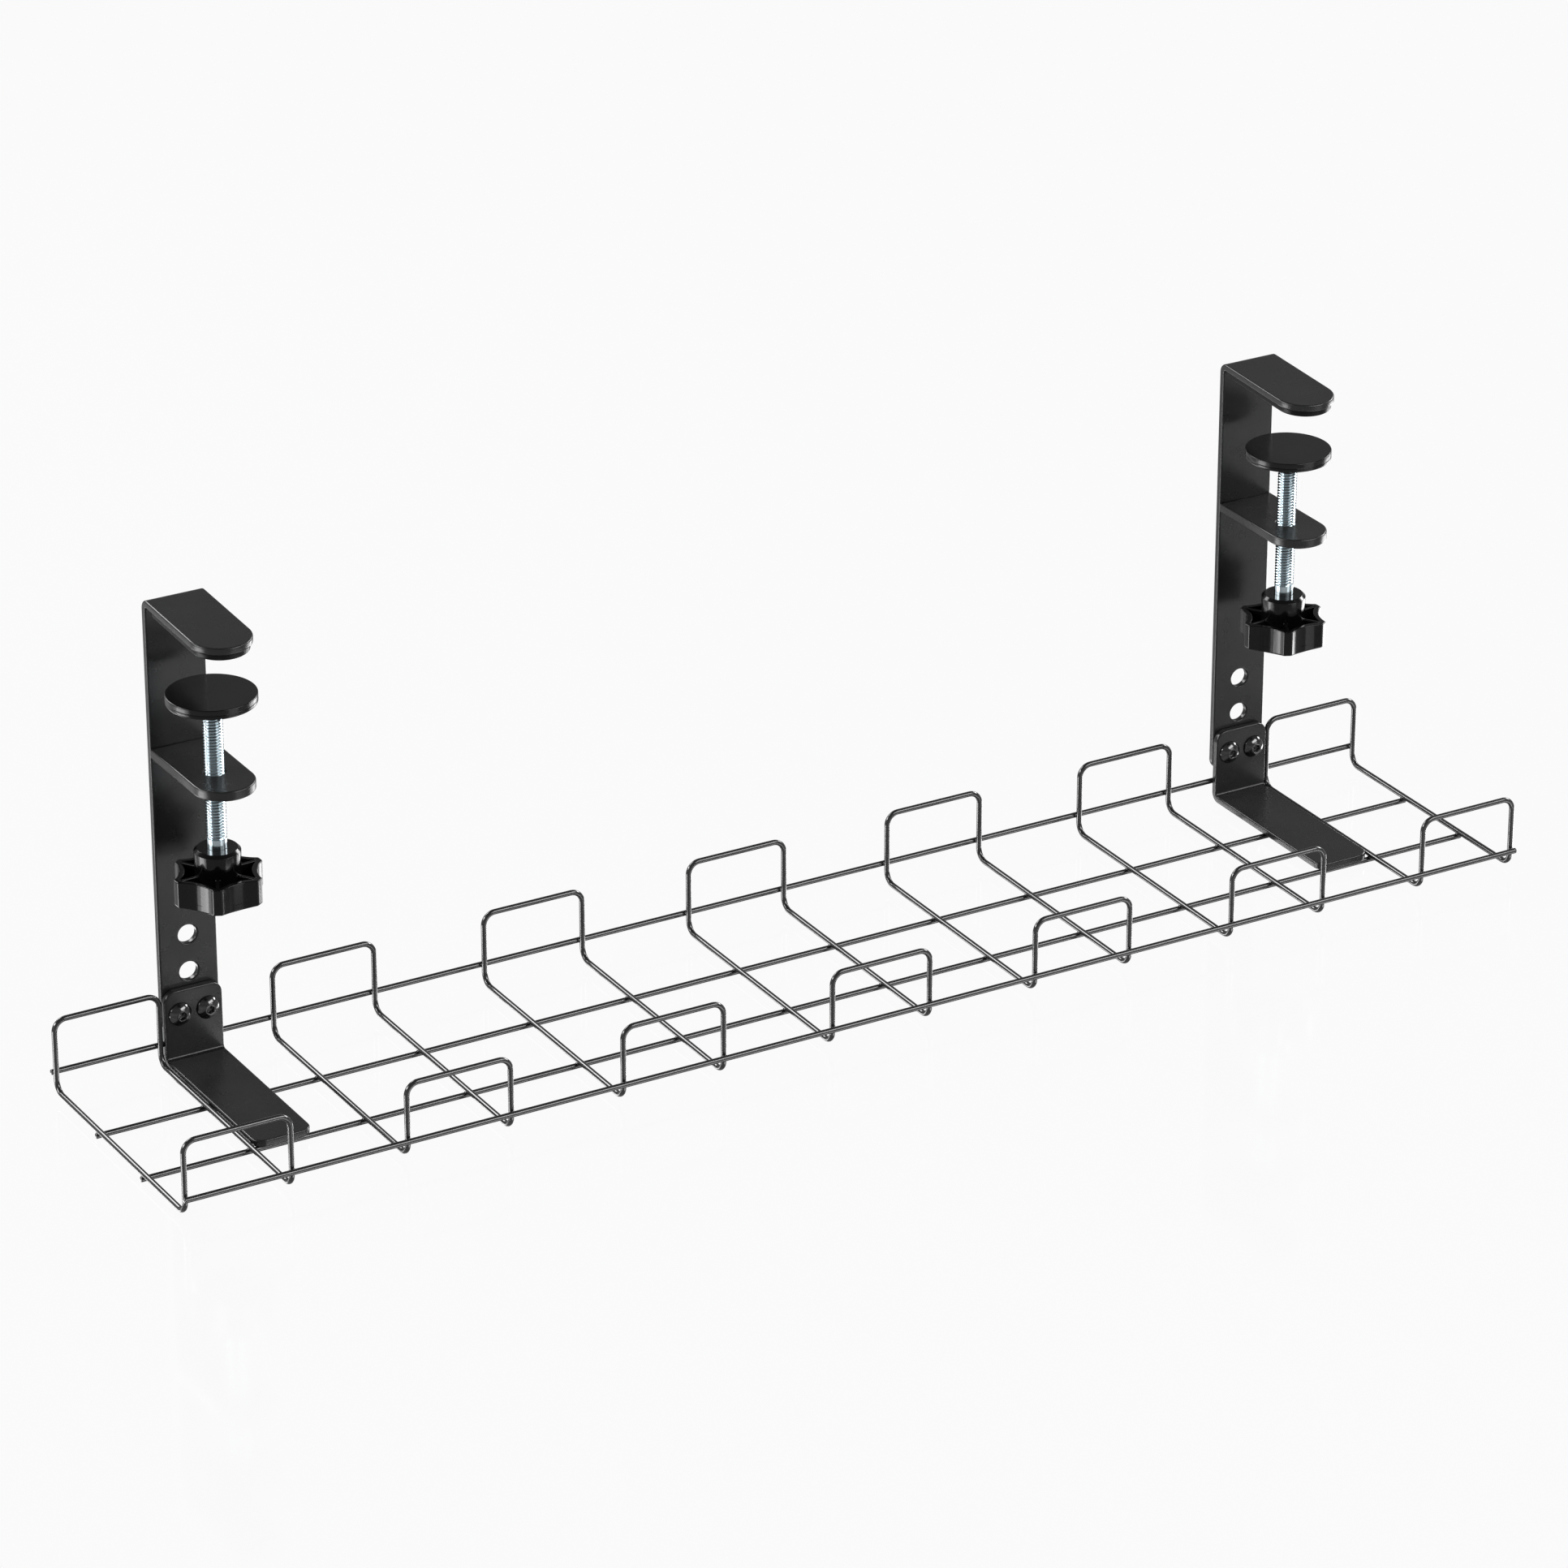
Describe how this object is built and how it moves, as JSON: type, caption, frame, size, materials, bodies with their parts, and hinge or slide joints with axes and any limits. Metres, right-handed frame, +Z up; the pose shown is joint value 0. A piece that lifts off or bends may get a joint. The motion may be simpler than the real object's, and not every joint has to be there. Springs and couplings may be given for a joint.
{
  "type": "under-desk cable basket",
  "caption": "Black wire cable tray of bent wire loops on long wires, hung from two flat-steel desk clamps with zinc screws, round pads and star knobs.",
  "frame": {"origin": "middle of the outline at the underside of the tray's floor wires, where the basket stands", "axes": "+X along the tray to its right end seen from the front, +Y to the rear, towards the hanger strips, +Z up"},
  "size_m": [0.6114, 0.124, 0.2008],
  "materials": {
    "wire_coat": "black powder coat, satin gloss",
    "plate_coat": "black powder coat, fine satin",
    "disc_coat": "black coat, semi-gloss",
    "screw_black": "black oxide, glossy",
    "zinc_steel": "bright zinc plate, bluish",
    "knob_plastic": "moulded black plastic, glossy",
    "pad_rubber": "matte black rubber"
  },
  "bodies": {
    "basket": {"wire_loop_1": "wire_coat", "wire_loop_2": "wire_coat", "wire_loop_3": "wire_coat", "wire_loop_4": "wire_coat", "wire_loop_5": "wire_coat", "wire_loop_6": "wire_coat", "wire_loop_7": "wire_coat", "rear_side_wire": "wire_coat", "rear_floor_wire": "wire_coat", "front_floor_wire": "wire_coat", "front_side_wire": "wire_coat", "hanger_left": "plate_coat", "clamp_shelf_left": "plate_coat", "jaw_pad_left": "pad_rubber", "tray_bracket_left": "plate_coat", "tray_screw_left_1": "screw_black", "tray_screw_left_2": "screw_black", "hanger_right": "plate_coat", "clamp_shelf_right": "plate_coat", "jaw_pad_right": "pad_rubber", "tray_bracket_right": "plate_coat", "tray_screw_right_1": "screw_black", "tray_screw_right_2": "screw_black"},
    "disc_left": {"clamp_disc_left": "disc_coat", "disc_pad_left": "pad_rubber"},
    "screw_left": {"clamp_screw_left": "zinc_steel", "star_knob_left": "knob_plastic"},
    "disc_right": {"clamp_disc_right": "disc_coat", "disc_pad_right": "pad_rubber"},
    "screw_right": {"clamp_screw_right": "zinc_steel", "star_knob_right": "knob_plastic"}
  },
  "joints": [
    {"name": "travel_left", "type": "slide", "parent": "basket", "child": "disc_left", "axis": [0, 0, 1], "range_m": [-0.0231, 0.0214]},
    {"name": "turn_left", "type": "hinge", "parent": "disc_left", "child": "screw_left", "pos_m": [-0.24557, 0.02763, 0.12], "axis": [0, 0, 1], "range_deg": [-6660, 6170]},
    {"name": "travel_right", "type": "slide", "parent": "basket", "child": "disc_right", "axis": [0, 0, 1], "range_m": [-0.0231, 0.0214]},
    {"name": "turn_right", "type": "hinge", "parent": "disc_right", "child": "screw_right", "pos_m": [0.24557, 0.02763, 0.12], "axis": [0, 0, 1], "range_deg": [-6660, 6170]}
  ],
  "couplings": [
    {"joint": "turn_left", "follows": "travel_left", "rad_per_m": 5026.5},
    {"joint": "turn_right", "follows": "travel_right", "rad_per_m": 5026.5}
  ]
}
